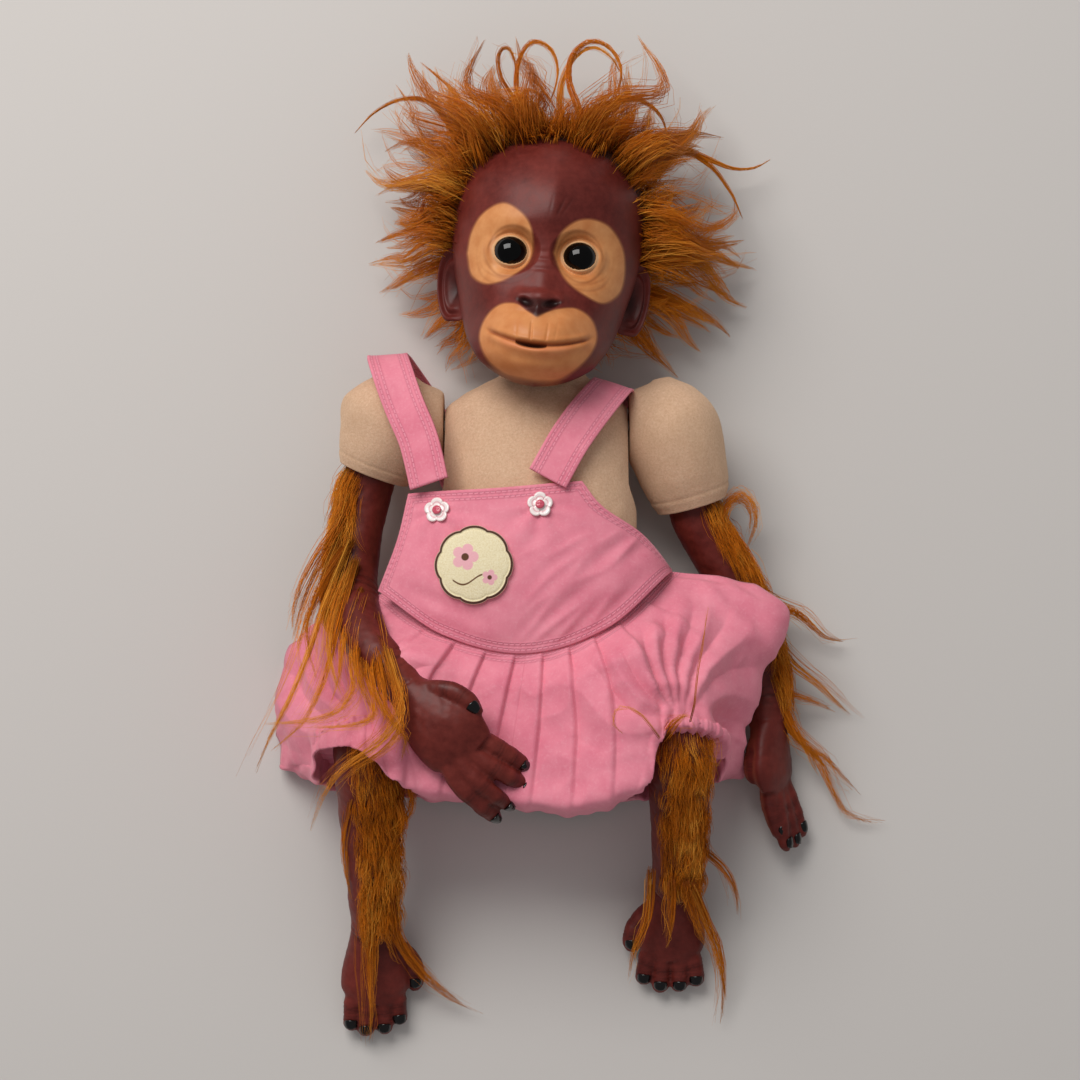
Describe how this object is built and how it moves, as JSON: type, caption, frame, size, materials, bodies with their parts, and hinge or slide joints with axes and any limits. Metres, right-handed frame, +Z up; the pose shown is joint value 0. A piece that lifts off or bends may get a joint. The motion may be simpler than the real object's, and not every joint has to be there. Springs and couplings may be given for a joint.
{
  "type": "orangutan doll",
  "caption": "Baby orangutan doll lying on its back: vinyl head, hands and feet, stuffed cloth body with disc-jointed limbs, long orange hair, and a cotton romper with shoulder straps.",
  "frame": {"origin": "on the surface that the doll lies on, under the middle of its outline", "axes": "+Z up, out of the doll's front; +Y from its feet to its head; +X to the doll's left"},
  "size_m": [0.3528, 0.5484, 0.1259],
  "materials": {
    "vinyl": "soft moulded vinyl, satin, painted dark red-brown",
    "eye": "polished black acrylic",
    "hair": "orange mohair fibre in locks",
    "plush": "short beige plush over fibre filling",
    "cotton": "woven cotton with a slight sheen, pink",
    "nylon": "white nylon cable tie and lock ring",
    "acetal": "white moulded doll joint disc",
    "button": "pale polyester button",
    "button_centre": "red-pink polyester",
    "felt": "cream padded appliqué cloth"
  },
  "bodies": {
    "torso": {"neck_tie": "nylon", "torso_body": "plush", "right_shoulder_washer": "acetal", "right_shoulder_lock": "nylon", "right_hip_washer": "acetal", "right_hip_lock": "nylon", "left_shoulder_washer": "acetal", "left_shoulder_lock": "nylon", "left_hip_washer": "acetal", "left_hip_lock": "nylon", "romper_bib": "cotton", "romper_bloomers": "cotton", "romper_back": "cotton", "right_strap": "cotton", "right_leg_elastic": "cotton", "right_button": "button", "right_button_centre": "button_centre", "left_strap": "cotton", "left_leg_elastic": "cotton", "left_button": "button", "left_button_centre": "button_centre", "bib_patch": "felt"},
    "head": {"head_shell": "vinyl", "right_eye": "eye", "left_eye": "eye", "scalp_hair": "hair"},
    "right_upper_arm": {"right_sleeve": "plush", "right_shoulder_disc": "acetal", "right_arm_tie": "nylon"},
    "right_forearm": {"right_arm": "vinyl", "right_arm_fur": "hair"},
    "right_upper_leg": {"right_thigh": "plush", "right_hip_disc": "acetal", "right_leg_tie": "nylon"},
    "right_lower_leg": {"right_leg": "vinyl", "right_leg_fur": "hair"},
    "left_upper_arm": {"left_sleeve": "plush", "left_shoulder_disc": "acetal", "left_arm_tie": "nylon"},
    "left_forearm": {"left_arm": "vinyl", "left_arm_fur": "hair"},
    "left_upper_leg": {"left_thigh": "plush", "left_hip_disc": "acetal", "left_leg_tie": "nylon"},
    "left_lower_leg": {"left_leg": "vinyl", "left_leg_fur": "hair"}
  },
  "joints": [
    {"name": "neck_turn", "type": "hinge", "parent": "torso", "child": "head", "pos_m": [-0.01202, 0.08768, 0.0428], "axis": [0.0872, 0.9962, 0], "range_deg": [-35, 35], "deforming": ["left_strap"]},
    {"name": "right_shoulder_swing", "type": "hinge", "parent": "torso", "child": "right_upper_arm", "pos_m": [-0.06279, 0.06145, 0.042], "axis": [-1, 0, 0], "range_deg": [0, 125], "deforming": ["right_strap"]},
    {"name": "right_hip_swing", "type": "hinge", "parent": "torso", "child": "right_upper_leg", "pos_m": [-0.06279, -0.07455, 0.04], "axis": [-1, 0, 0], "range_deg": [-30, 0], "deforming": ["romper_bloomers", "right_leg_elastic"]},
    {"name": "right_arm_twist", "type": "hinge", "parent": "right_upper_arm", "child": "right_forearm", "pos_m": [-0.10179, 0.03645, 0.035], "axis": [0.3533, 0.9125, 0.2061], "range_deg": [-40, 0]},
    {"name": "right_leg_twist", "type": "hinge", "parent": "right_upper_leg", "child": "right_lower_leg", "pos_m": [-0.09579, -0.09155, 0.058], "axis": [0.3586, 0.5976, -0.7171], "range_deg": [-15, 15], "deforming": ["right_leg_elastic"]},
    {"name": "left_shoulder_swing", "type": "hinge", "parent": "torso", "child": "left_upper_arm", "pos_m": [0.03921, 0.06145, 0.042], "axis": [-1, 0, 0], "range_deg": [-25, 125], "deforming": ["left_strap", "romper_bloomers"]},
    {"name": "left_hip_swing", "type": "hinge", "parent": "torso", "child": "left_upper_leg", "pos_m": [0.03921, -0.07455, 0.04], "axis": [-1, 0, 0], "range_deg": [-24, 30], "deforming": ["romper_bloomers", "left_leg_elastic"]},
    {"name": "left_arm_twist", "type": "hinge", "parent": "left_upper_arm", "child": "left_forearm", "pos_m": [0.07421, 0.01945, 0.033], "axis": [-0.2711, 0.9366, 0.2219], "range_deg": [-40, 40]},
    {"name": "left_leg_twist", "type": "hinge", "parent": "left_upper_leg", "child": "left_lower_leg", "pos_m": [0.06221, -0.09155, 0.058], "axis": [-0.2087, 0.6261, -0.7513], "range_deg": [-15, 15], "deforming": ["left_leg_elastic"]}
  ]
}
